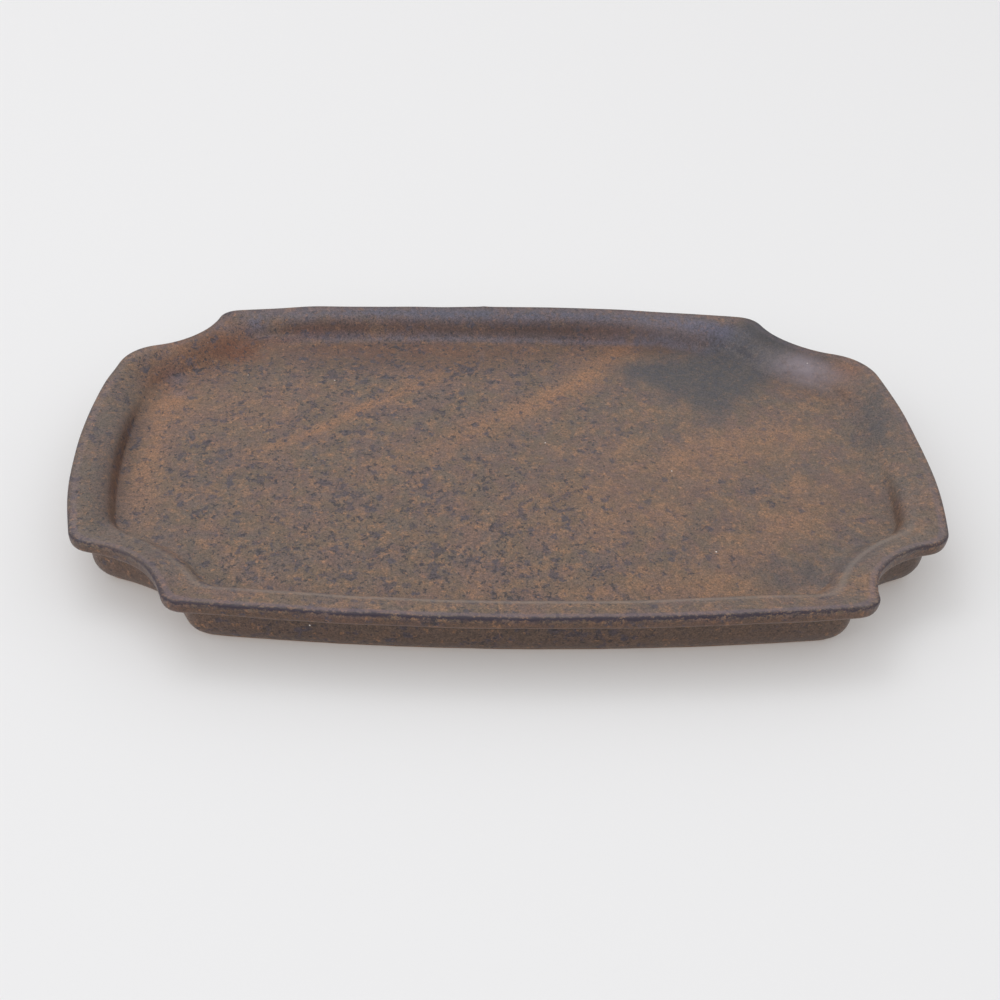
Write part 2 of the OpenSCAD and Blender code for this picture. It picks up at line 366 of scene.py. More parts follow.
# ---------------------------------------------------------------- glaze coat
g = Sheet()
starts = [g.add(ring(r), s) for r, s in zip(glaze_rows, sec)]
for a, b in zip(starts[:-1], starts[1:]):
    g.join(a, b)
g.disc(starts[0], ring(glaze_rows[0]), 7.15, 88, floor_lift, info=sec[0] - 5)
last = starts[-1]
for r in under_glaze[1:] if np.hypot(*(under_glaze[0, :2] - glaze_rows[-1, :2])) < 0.02 else under_glaze:
    s = g.add(ring(r), 30.0)
    g.join(last, s)
    last = s
g.disc(last, ring(under_glaze[-1]), 6.8, 14, info=30.0)
gv, gf, gsec = g.done()


# ================================================================ masks for the glaze's slow changes, and for painted light and shade
def blob(x, y, cx, cy, sx, sy, deg=0.0):
    t = math.radians(deg)
    u = (x - cx) * math.cos(t) + (y - cy) * math.sin(t)
    w = -(x - cx) * math.sin(t) + (y - cy) * math.cos(t)
    return np.exp(-0.5 * ((u / sx) ** 2 + (w / sy) ** 2))


def streak(x, y, pts, width):
    """Soft brush stroke: pts are x, y, strength."""
    best = np.zeros_like(x)
    for (x0, y0, a0, w0), (x1, y1, a1, w1) in zip(pts[:-1], pts[1:]):
        dx, dy = x1 - x0, y1 - y0
        t = np.clip(((x - x0) * dx + (y - y0) * dy) / (dx * dx + dy * dy), 0, 1)
        d = np.hypot(x - x0 - t * dx, y - y0 - t * dy)
        w = (w0 + (w1 - w0) * t) * width
        best = np.maximum(best, (a0 + (a1 - a0) * t) * np.exp(-(d / w) ** 2))
    return best


x, y, z = gv.T
warm = (streak(x, y, [(-44, -2, .2, 1.4), (-41, .3, .6, 1.4), (-36, 4, .9, 1.3), (-30.5, 8, 1.0, 1.2), (-24.2, 15, 1.2, 1.3), (-17.5, 21, 1.0, 1.6), (-12, 26.5, .8, 2.6), (-7, 32, .6, 3.6), (-9, 37, .4, 3.5)], 1.0)
        + streak(x, y, [(-22, -6, .2, 2.5), (-7, 6, .7, 3.2), (4.5, 16, 1.0, 3.2), (13, 23, 1.15, 3.0), (20.5, 33, 1.15, 3.0), (24, 38.5, 1.1, 2.8), (26, 41, .8, 2.4)], 1.0)
        + 0.6 * streak(x, y, [(33, -2, .7, 4), (42, 4, 1, 4.5), (52, 10, .6, 4)], 1.2)
        + 0.5 * streak(x, y, [(34, -30, .5, 4), (46, -18, 1, 4.5), (56, -8, .6, 4)], 1.2)
        + 0.5 * blob(x, y, 28, -37, 7, 3) + 0.95 * blob(x, y, -58.6, -6, 2.2, 16) + 0.6 * blob(x, y, -57, 17, 3, 5)
        + 1.2 * blob(x, y, -47.8, 37.0, 3.2, 3.2) + 0.7 * blob(x, y, -58.5, 30.5, 3.0, 2.0) + 0.6 * blob(x, y, -60.5, 23, 2.0, 3) + 0.45 * blob(x, y, -53, 33, 3.5, 3) + 1.1 * blob(x, y, 64.5, 27, 2.0, 3.5)
        + 0.45 * blob(x, y, -59, 15, 3, 4)
        + 0.35 * blob(x, y, 18, -12, 14, 8, 30) + 0.3 * blob(x, y, -44, 14, 8, 7) + 0.35 * blob(x, y, -6, -40, 25, 3))
cool = (0.95 * blob(x, y, 37, 27, 7.5, 5.0) + 0.6 * blob(x, y, 28, 30.5, 6.5, 3.0) + 0.85 * blob(x, y, 44, 32, 5.0, 5.0)
        + 0.6 * blob(x, y, 38, 19, 4.5, 4.5) + 0.35 * blob(x, y, 32, 10, 4.5, 3.5, 40) + 0.55 * blob(x, y, 46, 40, 5, 3.5) + 0.8 * blob(x, y, 51.5, 40, 4.0, 4.5) + 0.30 * blob(x, y, 33, 37.5, 6, 2.6) + 0.45 * blob(x, y, 53.5, 34.0, 2.6, 3.0)
        + 0.65 * blob(x, y, 64, 6, 4, 5) + 0.30 * blob(x, y, 55, -10, 5, 5) + 0.52 * blob(x, y, 42, -33.0, 8.5, 4.2) + 0.35 * blob(x, y, 52, -27, 4, 3)
        + 0.45 * blob(x, y, 66, 16, 2.5, 5))
# bluish bloom in the glaze, and painted reflection: thin pale-blue bands along the back rim's top and along the foot of
# the back wall, where the light from behind would glint
bloom_and_reflection = (0.98 * streak(x, y, [(-44, 44.5, .5, 2.0), (-30, 46.3, .8, 2.0), (-12, 47.2, 1.0, 2.2), (14, 46.8, 1.0, 2.2), (28, 46.0, .9, 2.1), (36, 44.9, 1.15, 2.4), (43.5, 42.6, 1.05, 2.3)], 1.0)
        + 0.75 * streak(x, y, [(-44, 40.0, .3, 1.1), (-32, 41.0, .7, 1.1), (-12, 42.0, .8, 1.2), (16, 41.6, .8, 1.1), (32, 41.4, .9, 1.1), (40, 38.8, .6, 1.8)], 1.0)
        + 0.6 * blob(x, y, -45.5, 43.0, 2.2, 2.0) + 0.25 * blob(x, y, 48.0, 40.5, 3.0, 3.0) + 0.25 * blob(x, y, 57.5, 30.5, 3.5, 2.5)
        + 0.6 * blob(x, y, -57.5, 24.0, 1.3, 1.5) + 0.45 * blob(x, y, -56.5, 19.5, 1.2, 1.0) + 0.5 * blob(x, y, -50.5, 39.8, 1.2, 1.0))
# darker brown glaze on the back of the floor and in the back left hollow, and painted shade: a dark band along the back
# inner wall; also darker along the left inner wall
umber_and_shade = (0.95 * streak(x, y, [(-40, 42.0, .9, 1.6), (-20, 43.8, 1.0, 1.7), (0, 44.4, 1.0, 1.7), (20, 43.8, 1.0, 1.9), (28, 42.6, .55, 1.8), (34, 41.5, .0, 1.6)], 1.0)
         + 0.52 * streak(x, y, [(-44, 40.5, .9, 2.4), (-49, 35.5, 1.0, 3.0), (-54, 31.5, .8, 3.2), (-58, 27.5, .9, 3.0), (-61, 21, .6, 2.2)], 1.0)
         + 0.60 * streak(x, y, [(-61.5, 19, .2, 1.6), (-62.6, 13, .8, 1.6), (-63, 8, 1.0, 1.6), (-63.4, -8, 1.0, 1.6), (-62.0, -24, .8, 1.6)], 1.0)
         + 0.55 * blob(x, y, 51, 38, 5, 4) + 0.5 * blob(x, y, 60, 24, 7, 3.0, -40) + 0.35 * blob(x, y, 51, 31, 5, 3)
         + 0.5 * streak(x, y, [(62.5, -8, .2, 1.2), (61.8, -19, 1.0, 1.2), (60.5, -25, .7, 1.2)], 1.0))
grey = (0.9 * blob(x, y, -62, -27, 6, 9) + 0.7 * blob(x, y, -67, 0, 2.4, 25) + 0.5 * blob(x, y, -53, -36, 7, 5)
        + 0.7 * blob(x, y, 66, 10, 3.5, 18) + 0.6 * blob(x, y, 67.5, 24, 2.2, 7) + 0.5 * blob(x, y, 65, -20, 4, 10) + 0.8 * blob(x, y, 55, -32, 6, 4, 30))
umber_and_shade = umber_and_shade + 0.50 * blob(x, y, -17, 33.5, 17, 4.5) + 0.24 * blob(x, y, 2, 37, 30, 4) + 0.2 * blob(x, y, -50, 33, 5, 4)
umber_and_shade = umber_and_shade + 0.45 * blob(x, y, 33, 38.6, 6.5, 2.0) + 0.25 * blob(x, y, 20, 43.5, 14, 1.6) + 0.6 * streak(x, y, [(24, 42.5, .4, 1.6), (30, 41.8, 1.0, 1.8), (36, 40.8, .9, 1.8), (42, 39.0, .3, 2.0)], 1.0)
ember = (1.0 * blob(x, y, -47.4, 34.8, 3.4, 3.0) + 0.65 * blob(x, y, -60.0, 23.5, 2.6, 3.2) + 0.7 * streak(x, y, [(-46, 38.5, .3, 1.4), (-40, 39.8, .9, 1.3), (-33, 41.8, .5, 1.3)], 1.0)
         + 0.6 * streak(x, y, [(12, 42.4, .3, 1.2), (22, 42.4, 1.0, 1.4), (28, 42.0, .5, 1.3)], 1.0) + 0.7 * blob(x, y, 63.8, 26.8, 2.6, 2.2)
         + 0.45 * blob(x, y, -53.5, 29.0, 4.5, 4.0) + 0.3 * blob(x, y, -20, 36.5, 16, 3.5) + 0.35 * blob(x, y, 58, 33.5, 2.5, 2.0)
         + 0.4 * streak(x, y, [(-62.2, 12, .3, 1.4), (-62.6, 0, .8, 1.4), (-62.4, -14, .8, 1.4), (-61.5, -24, .4, 1.4)], 1.0) + 0.3 * blob(x, y, 2, 38, 22, 3))
cloudy = np.clip((x - 2) / 34, 0, 1) * np.clip((34 - y) / 10, 0, 1)
dense = (0.55 + 0.45 * blob(x, y, 3, -38, 14, 5) + 0.4 * blob(x, y, -28, -10, 26, 24) + 0.60 * blob(x, y, -12, 28, 24, 9)
         + 0.25 * blob(x, y, 10, -25, 20, 9) + 0.3 * blob(x, y, -64, 0, 3, 30) + 0.25 * blob(x, y, -56, 31, 7, 7)
         - 0.6 * np.clip(cool, 0, 1) - 0.30 * np.clip(warm, 0, 1) - 0.5 * np.clip(cloudy, 0, 1) + 0.35 * blob(x, y, 66, 8, 2.5, 14))
# where the painted highlight along the inner crest is laid on: the front and the front hollows
crest = np.clip(blob(x, y, 0, -46, 48, 6) + 0.9 * blob(x, y, 57, -33, 8, 8) + 0.4 * blob(x, y, -54, -34, 8, 7), 0, 1)
edge = np.clip(0.35 + 0.9 * blob(x, y, 0, -52, 60, 13) + 0.4 * blob(x, y, -66, -34, 7, 12) + 0.5 * blob(x, y, 66, -34, 7, 12), 0, 1.1)
# painted highlight: the light's reflection on the back right hollow's slope, and a faint band along the back rim
sheen = 0.95 * blob(x, y, 57.0, 28.6, 4.8, 2.1, -38) + 0.25 * blob(x, y, 34, 43.5, 8, 2.2)
hub = np.hypot(x - 67.5, y - 48.4)
notch_br = (x > 0) * (y > 0) * np.clip((hub - 17.0) / 0.5, 0, 1)
s_top = np.clip((-gsec - 0.3) / 1.2, 0, 1)
left = np.clip((-x - 57) / 4, 0, 1) * np.clip((33 - np.abs(y)) / 5, 0, 1)
# painted light and shade, darker where positive and lighter where negative: a dark band between the rim and the painted
# highlight in the back right hollow, the left rim lighter at its outer edge and darker inside as if lit from the left,
# the back rim's top and the back inner wall darkened, and a lighter strip at the foot of the left wall
shade = (notch_br * 0.9 * np.exp(-((hub - 18.9) / 1.5) ** 2) * np.clip((x - 46) / 4, 0, 1) * np.clip((65 - x) / 4, 0, 1)
         + left * (0.48 * np.clip((-gsec - 1.0) / 3.5, 0, 1) - 0.58 * np.exp(-((gsec + 0.7) / 0.8) ** 2))
         + 0.30 * blob(x, y, 0, 49, 45, 2.5) + 0.50 * blob(x, y, 50.5, 41.5, 4.0, 3.6) + 0.60 * streak(x, y, [(-14, 43.5, .3, 1.2), (8, 43.4, .8, 1.2), (25, 42.7, 1.0, 1.3), (35, 41.8, 1.0, 1.4), (41, 40.4, .3, 1.4)], 1.0) + 0.22 * blob(x, y, 41, 31, 8, 7) - 0.3 * blob(x, y, -59.5, -6, 1.8, 16))
gone = np.where(gsec > 20, 0.0, 1.0)
# painted shade on the foot's face, turning into painted light towards the left end, which also gets warmer in colour
foot_face = np.clip((gsec - 3.0) / 0.8, 0, 1)
to_left = np.clip((-x - 34) / 18, 0, 1)
shade = shade + foot_face * (0.15 - 0.45 * to_left)
ember = ember + foot_face * (0.12 + 0.45 * to_left)
masks = {"warm": np.clip(warm, 0, 1.2), "cool": np.clip(cool, 0, 1), "bloom_and_reflection": np.clip(bloom_and_reflection, 0, 1), "umber_and_shade": np.clip(umber_and_shade, 0, 1),
         "grey": np.clip(grey, 0, 1), "dense": np.clip(dense, 0, 1), "edge": edge, "sec": gsec, "crest": crest,
         "cloudy": cloudy * gone, "ember": np.clip(ember, 0, 1) * gone, "shade": np.clip(shade, -1, 1) * gone, "sheen": np.clip(sheen, 0, 1)}

glaze = make("glaze_skin", gv, gf, masks)

# ---------------------------------------------------------------- clay members under it
w = Sheet()
wall_rows = [r for r in clay_top if r[0] < 9.2 and (r[1] > 3.3 or r[0] < 4.8)]
wall_rows = [np.array([9.2, 6.80, 6.80, 6.0, 0])] + [r for r in wall_rows if r[1] > 3.25] + [
    np.array([4.9, 3.2, 3.2, 2.6, 1]), np.array([7.0, 3.2, 3.2, 4.0, 0.6]), np.array([9.2, 3.2, 3.2, 6.0, 0]), np.array([9.2, 5.0, 5.0, 6.0, 0])]
ss = [w.add(ring(r)) for r in wall_rows]
for a, b in zip(ss, ss[1:] + ss[:1]):
    w.join(a, b)
wv, wf, _ = w.done()
wall_piece = make("wall_and_rim_clay", wv, wf)

FOOT = [(5.30, 1.95, 1.95, 2.6, 1), (5.62, 1.25, 1.25, 2.6, 1), (5.97, 0.57, 0.57, 2.6, 1), (6.08, 0.38, 0.38, 2.6, 1), (6.28, 0.17, 0.17, 2.7, 1), (6.55, 0.045, 0.045, 2.8, 1),
        (6.95, 0.0, 0.0, 2.9, 1), (8.0, -0.0, 0.0, 3.0, 1), (9.3, 0.0, 0.0, 3.2, 1), (10.6, 0.0, 0.0, 3.4, 1), (11.2, 0.03, 0.03, 3.5, 1), (11.5, 0.12, 0.12, 3.5, 1), (11.7, 0.35, 0.35, 3.5, 1),
        (11.8, 0.8, 0.8, 3.5, 1), (11.86, 1.6, 1.6, 3.5, 1), (11.95, 2.5, 2.5, 3.5, 1), (12.0, 3.2, 3.2, 3.5, 1)]
f = Sheet()
foot_rows = spline(FOOT, 0.22)
foot_rings = []
for r in foot_rows:
    p = ring(r)
    low = np.clip(1 - r[1] / 0.5, 0, 1)
    p[:, 2] = np.maximum(p[:, 2] + low * (0.03 + 0.02 * wave_mid(p[:, 0], p[:, 1]) + 0.012 * wave_short(p[:, 0], p[:, 1])), 0.0)
    foot_rings.append(p)
foot_rings += [ring((9.5, 3.2, 3.2, 3.2, 1)), ring((7.0, 3.2, 3.2, 3.0, 1)), ring((4.9, 3.2, 3.2, 2.6, 1))]
ss = [f.add(p) for p in foot_rings]
for a, b in zip(ss, ss[1:] + ss[:1]):
    f.join(a, b)
fv, ff, _ = f.done()
foot_piece = make("foot_ring_clay", fv, ff)

s = Sheet()
slab_rim = [ring((9.2, 6.79, 6.79, 6.0, 0)), ring((9.2, 5.0, 5.0, 6.0, 0)), ring((9.2, 3.2, 3.2, 6.0, 0))]
ss = [s.add(p) for p in slab_rim]
s.join(ss[0], ss[1])
s.join(ss[1], ss[2])
s.disc(ss[0], slab_rim[0], 6.79, 12)
s.disc(ss[2], slab_rim[2], 3.2, 60, lambda x, y: np.clip(1 - np.hypot(x / 58, y / 36), 0, 1) ** 0.5 * (0.05 * wave_mid(x, y) + 0.02 * wave_short(x, y)))
sv, sf, _ = s.done()
slab_piece = make("floor_slab_clay", sv, sf)

for ob, node, sl in ((glaze, "glaze_coat", "brown_glaze"), (wall_piece, "wall_rim", "bare_stoneware"),
                     (foot_piece, "foot_ring", "bare_stoneware"), (slab_piece, "floor_slab", "bare_stoneware")):
    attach(ob, "root")
    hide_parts(node)


# ================================================================ node helpers
def lin(r, g, b):
    f = lambda c: (c / 255 / 12.92) if c / 255 <= 0.04045 else ((c / 255 + 0.055) / 1.055) ** 2.4
    return (f(r), f(g), f(b), 1.0)


class Graph:
    def __init__(self, name):
        self.mat = bpy.data.materials.new(name)
        self.mat.use_nodes = True
        self.t = self.mat.node_tree
        self.t.nodes.clear()
        self.out = self.t.nodes.new("ShaderNodeOutputMaterial")
        self.bsdf = self.t.nodes.new("ShaderNodeBsdfPrincipled")
        self.t.links.new(self.bsdf.outputs[0], self.out.inputs[0])
        tc = self.t.nodes.new("ShaderNodeTexCoord")
        self.co = self.vec("MULTIPLY", tc.outputs["Object"], (1000, 1000, 1000))

    def put(self, sock, val):
        if isinstance(val, bpy.types.NodeSocket):
            self.t.links.new(val, sock)
        else:
            sock.default_value = val

    def vec(self, op, a, b, scale=None):
        n = self.t.nodes.new("ShaderNodeVectorMath")
        n.operation = op
        self.put(n.inputs[0], a)
        if b is not None:
            self.put(n.inputs[1], b)
        if scale is not None:
            self.put(n.inputs["Scale"], scale)
        return n.outputs[0]

    def math(self, op, a, b=None, clamp=False):
        n = self.t.nodes.new("ShaderNodeMath")
        n.operation = op
        n.use_clamp = clamp
        self.put(n.inputs[0], a)
        if b is not None:
            self.put(n.inputs[1], b)
        return n.outputs[0]

    def mul(self, *a):
        r = a[0]
        for q in a[1:]:
            r = self.math("MULTIPLY", r, q)
        return r

    def add(self, *a):
        r = a[0]
        for q in a[1:]:
            r = self.math("ADD", r, q)
        return r

    def ramp(self, v, lo, hi, a=0.0, b=1.0, smooth=True):
        n = self.t.nodes.new("ShaderNodeMapRange")
        n.clamp = True
        n.interpolation_type = "SMOOTHSTEP" if smooth else "LINEAR"
        self.put(n.inputs[0], v)
        self.put(n.inputs[1], lo)
        self.put(n.inputs[2], hi)
        self.put(n.inputs[3], a)
        self.put(n.inputs[4], b)
        return n.outputs[0]

    def noise(self, size, detail=2.0, rough=0.5, co=None, dist=0.0, off=0.0, color=False):
        n = self.t.nodes.new("ShaderNodeTexNoise")
        c = co if co is not None else self.co
        if off:
            c = self.vec("ADD", c, (off, off * 0.7 + 3, off * 1.3 - 5))
        self.put(n.inputs["Vector"], c)
        n.inputs["Scale"].default_value = 1.0 / size
        n.inputs["Detail"].default_value = detail
        n.inputs["Roughness"].default_value = rough
        n.inputs["Distortion"].default_value = dist
        return n.outputs["Color" if color else "Fac"]

    def cells(self, size, co, rnd=1.0):
        n = self.t.nodes.new("ShaderNodeTexVoronoi")
        self.put(n.inputs["Vector"], co)
        n.inputs["Scale"].default_value = 1.0 / size
        n.inputs["Randomness"].default_value = rnd
        s = self.t.nodes.new("ShaderNodeSeparateColor")
        self.t.links.new(n.outputs["Color"], s.inputs[0])
        return n.outputs["Distance"], s.outputs[0], s.outputs[1]

    def mix(self, fac, a, b, mode="MIX"):
        n = self.t.nodes.new("ShaderNodeMix")
        n.data_type = "RGBA"
        n.blend_type = mode
        n.clamp_factor = True
        self.put(n.inputs[0], fac)
        self.put(n.inputs[6], a)
        self.put(n.inputs[7], b)
        return n.outputs[2]

    def attr(self, name):
        n = self.t.nodes.new("ShaderNodeAttribute")
        n.attribute_type = "GEOMETRY"
        n.attribute_name = name
        return n.outputs["Fac"]

    def bump(self, height, depth_mm, strength=1.0, normal=None):
        n = self.t.nodes.new("ShaderNodeBump")
        n.inputs["Strength"].default_value = strength
        n.inputs["Distance"].default_value = depth_mm * MM
        self.put(n.inputs["Height"], height)
        if normal is not None:
            self.put(n.inputs["Normal"], normal)
        return n.outputs[0]


# ================================================================ brown satin glaze
BASE = lin(107, 83, 69)
OLIVE = lin(106, 88, 66)
MAUVE = lin(110, 84, 78)
GREY = lin(98, 86, 78)
TAN = lin(142, 105, 76)
RUST = lin(149, 105, 72)
UMBER_AND_SHADE_BROWN = lin(78, 49, 34)
SLATE = lin(57, 56, 64)
INK = lin(62, 57, 70)
DARK = lin(40, 33, 40)
BLOOM_AND_REFLECTION = lin(86, 85, 103)
ARRIS = lin(38, 25, 40)
PALE_HIGHLIGHT = lin(136, 122, 112)
EMBER = lin(106, 60, 35)

G = Graph("satin_brown_glaze")
a_warm, a_cool, a_bloom_and_reflection, a_umber_and_shade = G.attr("warm"), G.attr("cool"), G.attr("bloom_and_reflection"), G.attr("umber_and_shade")
a_grey, a_dense, a_edge, a_sec, a_crest = G.attr("grey"), G.attr("dense"), G.attr("edge"), G.attr("sec"), G.attr("crest")
a_cloudy, a_sheen, a_shade, a_ember = G.attr("cloudy"), G.attr("sheen"), G.attr("shade"), G.attr("ember")
G.co = G.vec("MULTIPLY", G.co, (1.0, 0.78, 1.0))
n_big = G.noise(15.0, 3.0, 0.55, off=11)
n_hue = G.noise(5.0, 3.0, 0.6, off=53)
n_mid = G.noise(3.6, 4.0, 0.62, off=37)
n_sml = G.noise(1.25, 4.0, 0.66, off=71)
n_fine = G.noise(0.50, 3.0, 0.66, off=93)
n_pix = G.noise(0.24, 1.0, 0.5, off=117)

# slow changes first
mott = G.add(G.mul(n_mid, 0.5), G.mul(n_sml, 0.5))
col = G.mix(G.ramp(n_hue, 0.42, 0.58), OLIVE, MAUVE)
col = G.mix(0.5, col, BASE)
col = G.mix(G.mul(G.ramp(n_mid, 0.42, 0.62), 0.5), col, GREY)
# soft tan clouds, strongest on the right
cloud = G.noise(6.0, 7.0, 0.80, off=301)
col = G.mix(G.mul(G.ramp(cloud, 0.49, 0.62), G.add(0.26, G.mul(a_cloudy, 0.42))), col, TAN)
col = G.mix(G.mul(G.ramp(cloud, 0.36, 0.49, 1.0, 0.0), G.add(0.15, G.mul(a_cloudy, 0.38))), col, lin(82, 70, 68))
patch = G.noise(2.3, 5.0, 0.70, off=333)
col = G.mix(G.mul(G.ramp(patch, 0.52, 0.63), 0.66), col, TAN)
col = G.mix(G.mul(G.ramp(patch, 0.36, 0.46, 1.0, 0.0), 0.30), col, lin(80, 64, 64))
warm_f = G.mul(a_warm, G.ramp(mott, 0.36, 0.56, 0.25, 1.0))
col = G.mix(G.mul(warm_f, 0.80), col, RUST)
col = G.mix(G.mul(a_grey, G.ramp(n_sml, 0.3, 0.62), 0.75), col, GREY)
# dark brown, partly painted shade along the back inner wall
col = G.mix(G.mul(a_umber_and_shade, G.ramp(n_mid, 0.28, 0.55, 0.45, 1.0), 0.95), col, UMBER_AND_SHADE_BROWN)
col = G.mix(G.mul(a_ember, G.ramp(mott, 0.36, 0.56, 0.35, 1.0), 0.85), col, EMBER)
cool_f = G.ramp(G.add(a_cool, G.mul(G.math("SUBTRACT", mott, 0.5), 1.5), G.mul(G.math("SUBTRACT", n_hue, 0.5), 0.8)), 0.10, 0.98)
col = G.mix(G.mul(cool_f, 0.95), col, G.mix(G.ramp(n_sml, 0.4, 0.6), SLATE, lin(78, 70, 68)))
# bluish bloom, and the painted reflection along the back rim and the back wall's foot
col = G.mix(G.mul(a_bloom_and_reflection, G.ramp(mott, 0.36, 0.56, 0.40, 1.0), 0.92), col, BLOOM_AND_REFLECTION)
# painted shade: the outer face and the underside, below the rim's edge, are mixed darker brown
under = G.ramp(a_sec, 0.2, 1.2)
col = G.mix(G.mul(under, 0.66), col, UMBER_AND_SHADE_BROWN)
foot = G.ramp(a_sec, 2.4, 3.2)
col = G.mix(G.mul(foot, 0.35), col, GREY)

# separate slate-blue dots about a millimetre wide, ragged and soft at the edge
push = G.vec("SCALE", G.vec("SUBTRACT", G.noise(0.9, 3.0, 0.6, off=149, color=True), (0.5, 0.5, 0.5)), None, 2.2)
dA, rA, qA = G.cells(2.25, G.vec("ADD", G.vec("ADD", G.co, push), (13.0, 3.0, 8.0)))
rad = G.add(0.05, G.mul(rA, 0.22), G.mul(a_dense, 0.06), G.mul(G.math("SUBTRACT", G.noise(9.0, 2.0, 0.5, off=140), 0.5), 0.35))
s0 = G.mul(G.ramp(G.math("SUBTRACT", dA, rad), -0.08, 0.07, 1.0, 0.0), G.ramp(qA, 0.0, 0.8, 0.35, 1.0))
# drifting blotches and small dark specks
drift = G.add(G.mul(G.noise(8.0, 3.0, 0.6, off=140), 0.30), G.mul(a_dense, 0.10))
f1 = G.add(G.noise(1.75, 3.0, 0.58, off=163), G.mul(G.math("SUBTRACT", drift, 0.21), 0.9))
s1 = G.ramp(f1, 0.585, 0.68)
f2 = G.add(G.noise(0.72, 2.0, 0.55, off=187), G.mul(G.math("SUBTRACT", drift, 0.21), 0.7))
s2 = G.ramp(f2, 0.605, 0.69)
calm = G.mul(G.ramp(a_cool, 0.15, 0.6, 1.0, 0.42), G.ramp(a_cloudy, 0.0, 1.0, 1.0, 0.85), G.ramp(a_bloom_and_reflection, 0.25, 0.8, 1.0, 0.55))
col = G.mix(G.mul(s1, calm, 0.66), col, INK)
col = G.mix(G.mul(s0, calm, 0.76), col, INK)
col = G.mix(G.mul(s2, calm, 0.80), col, DARK)
# orange and tan pricks between them
o1 = G.ramp(G.noise(0.95, 3.0, 0.6, off=205), 0.585, 0.68)
col = G.mix(G.mul(o1, calm, G.ramp(a_umber_and_shade, 0.1, 0.7, 0.45, 0.20)), col, lin(166, 118, 80))
# grain
grain = G.add(-0.66, G.mul(n_fine, 1.66), G.mul(n_pix, 1.66))
# the painted light and shade is applied here with the grain
col = G.vec("SCALE", col, None, G.mul(grain, G.add(0.85, G.mul(a_shade, -0.36))))
# rare white pinholes
d4, r6, q4 = G.cells(4.8, G.vec("ADD", G.co, (5.0, 77.0, 31.0)))
prick = G.mul(G.ramp(d4, 0.014, 0.036, 1.0, 0.0), G.ramp(r6, 0.60, 0.64))
col = G.mix(prick, col, lin(225, 215, 205))

# where the glaze breaks over the rim's edge: a dark, ragged line with flecks round it
wob = G.math("SUBTRACT", G.noise(0.7, 3.0, 0.7, off=210), 0.5)
wob2 = G.math("SUBTRACT", G.noise(3.2, 3.0, 0.6, off=230), 0.5)
line_d = G.math("ABSOLUTE", G.add(a_sec, -0.08, G.mul(wob, G.add(1.2, G.mul(a_cloudy, 1.3)))))
line = G.ramp(line_d, 0.06, G.math("MAXIMUM", G.add(0.50, G.mul(wob2, 2.4)), 0.10), 1.0, 0.0)
near = G.ramp(G.math("ABSOLUTE", G.add(a_sec, 0.10)), 0.3, 1.5, 1.0, 0.0)
fleck = G.mul(near, G.ramp(G.noise(0.8, 3.0, 0.7, off=250), 0.49, 0.58))
col = G.mix(G.mul(G.math("MAXIMUM", line, G.mul(fleck, 0.75)), a_edge, 0.97), col, ARRIS)
# painted highlight: a pale lavender line just over the dark line at the rim's edge
arris_highlight = G.ramp(G.math("ABSOLUTE", G.add(a_sec, 0.85, G.mul(wob, 0.9))), 0.15, 0.7, 1.0, 0.0)
col = G.mix(G.mul(arris_highlight, a_edge, 0.38), col, lin(112, 96, 106))
lip = G.ramp(G.math("ABSOLUTE", G.add(a_sec, -2.05, G.mul(wob, 0.3))), 0.08, 0.34, 1.0, 0.0)
col = G.mix(G.mul(lip, 0.20), col, lin(132, 104, 84))
# painted highlight: a pale line along the inner crest of the rim, strongest at the front
cr = G.ramp(G.math("ABSOLUTE", G.add(a_sec, 4.85, G.mul(wob, 0.5))), 0.1, 0.85, 1.0, 0.0)
col = G.mix(G.mul(cr, a_crest, 0.50), col, PALE_HIGHLIGHT)
# a pale patch in the back right hollow, with a faint band along the back rim: painted highlight where the light would
# reflect off the slope, with some milky bloom in the glaze
col = G.mix(G.mul(a_sheen, G.ramp(mott, 0.36, 0.56, 0.6, 1.0), 0.75), col, lin(132, 122, 130))
G.put(G.bsdf.inputs["Base Color"], col)

rough = G.add(0.35, G.mul(n_sml, 0.16), G.mul(s1, 0.08))
G.put(G.bsdf.inputs["Roughness"], rough)
G.bsdf.inputs["IOR"].default_value = 1.5
G.bsdf.inputs["Specular IOR Level"].default_value = 0.5
h = G.add(G.mul(n_sml, 0.55), G.mul(n_fine, 0.35), G.mul(n_pix, 0.12), G.mul(s2, -0.12), G.mul(prick, -0.3))
G.put(G.bsdf.inputs["Normal"], G.bump(h, 0.12))
glaze.data.materials.append(G.mat)

# ================================================================ bare stoneware
C = Graph("bare_stoneware")
m1, m2, m3 = C.noise(9.0, 3.0, 0.6, off=5), C.noise(1.4, 3.0, 0.6, off=25), C.noise(0.3, 2.0, 0.6, off=45)
cc = C.mix(C.ramp(m1, 0.35, 0.65), lin(128, 92, 66), lin(112, 78, 56))
cc = C.mix(C.mul(C.ramp(m2, 0.45, 0.65), 0.5), cc, lin(140, 108, 82))
e1, e2, e3 = C.cells(0.9, C.vec("ADD", C.co, C.vec("SCALE", C.vec("SUBTRACT", C.noise(0.7, 2.0, 0.5, color=True), (0.5, 0.5, 0.5)), None, 0.6)))
grog = C.mul(C.ramp(e1, 0.1, 0.26, 1.0, 0.0), C.ramp(e2, 0.72, 0.82))
cc = C.mix(C.mul(grog, 0.8), cc, lin(74, 56, 46))
e4, e5, e6 = C.cells(1.1, C.vec("ADD", C.co, (40.0, 9.0, 3.0)))
pale = C.mul(C.ramp(e4, 0.08, 0.2, 1.0, 0.0), C.ramp(e5, 0.75, 0.85))
cc = C.mix(C.mul(pale, 0.6), cc, lin(190, 164, 136))
C.put(C.bsdf.inputs["Base Color"], cc)
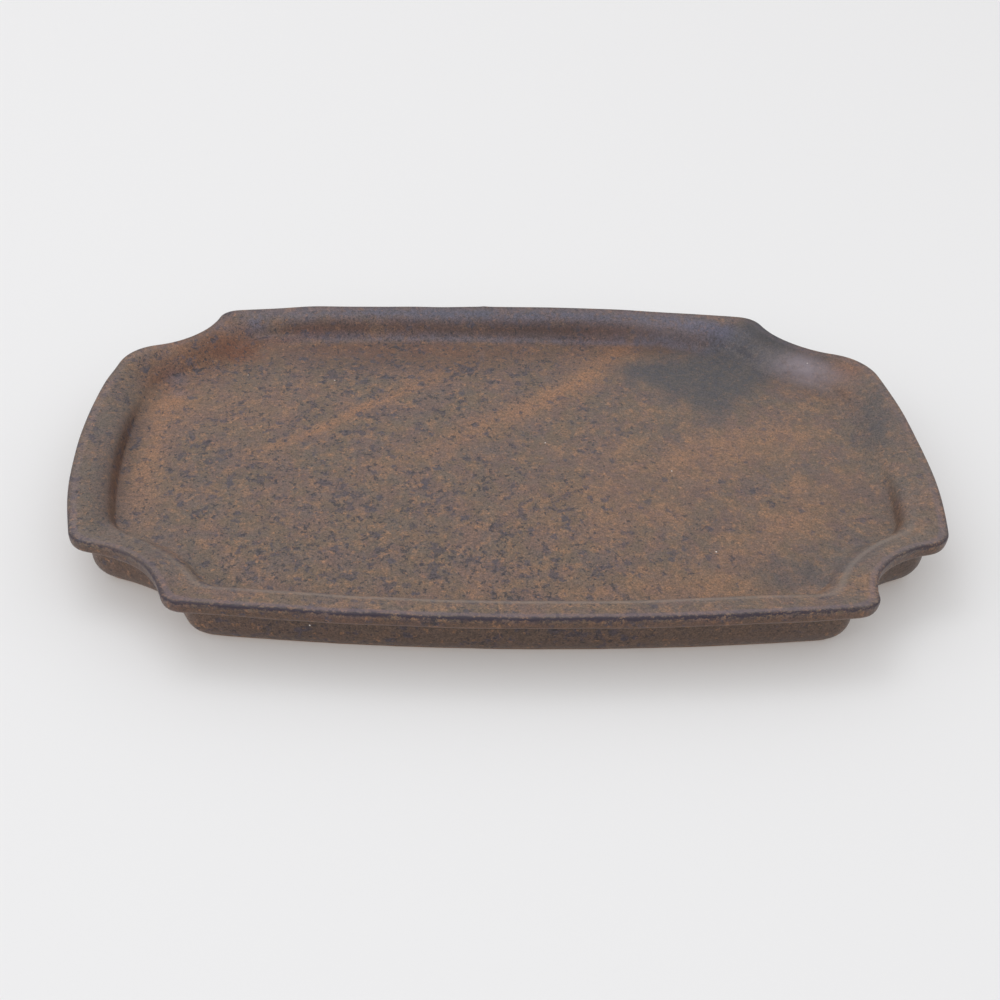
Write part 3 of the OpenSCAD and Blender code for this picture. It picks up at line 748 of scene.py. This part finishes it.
C.put(C.bsdf.inputs["Roughness"], C.add(0.74, C.mul(m2, 0.18)))
C.bsdf.inputs["Specular IOR Level"].default_value = 0.35
ch = C.add(C.mul(m2, 0.5), C.mul(m3, 0.4), C.mul(grog, -0.4))
C.put(C.bsdf.inputs["Normal"], C.bump(ch, 0.12))
for ob in (wall_piece, foot_piece, slab_piece):
    ob.data.materials.append(C.mat)

# ================================================================ floor, light
fm = bpy.data.meshes.new("studio_floor")
fm.from_pydata([(-3, -3, 0), (3, -3, 0), (3, 3, 0), (-3, 3, 0)], [], [(0, 1, 2, 3)])
floor = bpy.data.objects.new("studio_floor", fm)
scene.collection.objects.link(floor)
F = Graph("pale_floor")
F.bsdf.inputs["Base Color"].default_value = (0.662, 0.679, 0.695, 1)
# the floor glows faintly warm: painted light, standing in for bounce light that lifts and warms the shadows round the
# tray
F.bsdf.inputs["Emission Color"].default_value = (1.0, 0.86, 0.75, 1)
F.bsdf.inputs["Emission Strength"].default_value = 0.142
F.bsdf.inputs["Roughness"].default_value = 0.6
F.bsdf.inputs["Specular IOR Level"].default_value = 0.2
fm.materials.append(F.mat)

world = bpy.data.worlds.new("studio")
scene.world = world
world.use_nodes = True
bg = world.node_tree.nodes["Background"]
bg.inputs[1].default_value = 1.0
wt = world.node_tree
wc = wt.nodes.new("ShaderNodeTexCoord")
wx = wt.nodes.new("ShaderNodeSeparateXYZ")
wt.links.new(wc.outputs["Generated"], wx.inputs[0])
wr = wt.nodes.new("ShaderNodeValToRGB")
wr.color_ramp.elements[0].position = 0.0
wr.color_ramp.elements[0].color = (0.735, 0.735, 0.74, 1)
wr.color_ramp.elements[1].position = 1.0
wr.color_ramp.elements[1].color = (0.77, 0.775, 0.785, 1)
wt.links.new(wx.outputs[2], wr.inputs[0])
wt.links.new(wr.outputs[0], bg.inputs[0])


def area(name, direction, dist, size, power, color=(1, 1, 1)):
    L = bpy.data.lights.new(name, "AREA")
    L.shape = "RECTANGLE"
    L.size, L.size_y = size
    L.energy = power
    L.color = color
    o = bpy.data.objects.new(name, L)
    scene.collection.objects.link(o)
    v = np.array(direction, float)
    v /= np.linalg.norm(v)
    o.location = (v * dist).tolist()
    from mathutils import Vector
    o.rotation_euler = Vector((-v).tolist()).to_track_quat("-Z", "Y").to_euler()
    return o


area("top_softbox", (-0.27, 0.36, 0.89), 1.2, (0.85, 0.50), 2.0, (1.0, 0.985, 1.0))
area("left_softbox", (-0.78, -0.34, 0.46), 1.4, (1.3, 1.1), 3.6)
area("front_fill", (-0.05, -0.78, 0.61), 1.5, (2.4, 1.3), 5.6)
area("back_softbox", (0.12, 0.85, 0.52), 1.5, (2.0, 0.7), 0.7)
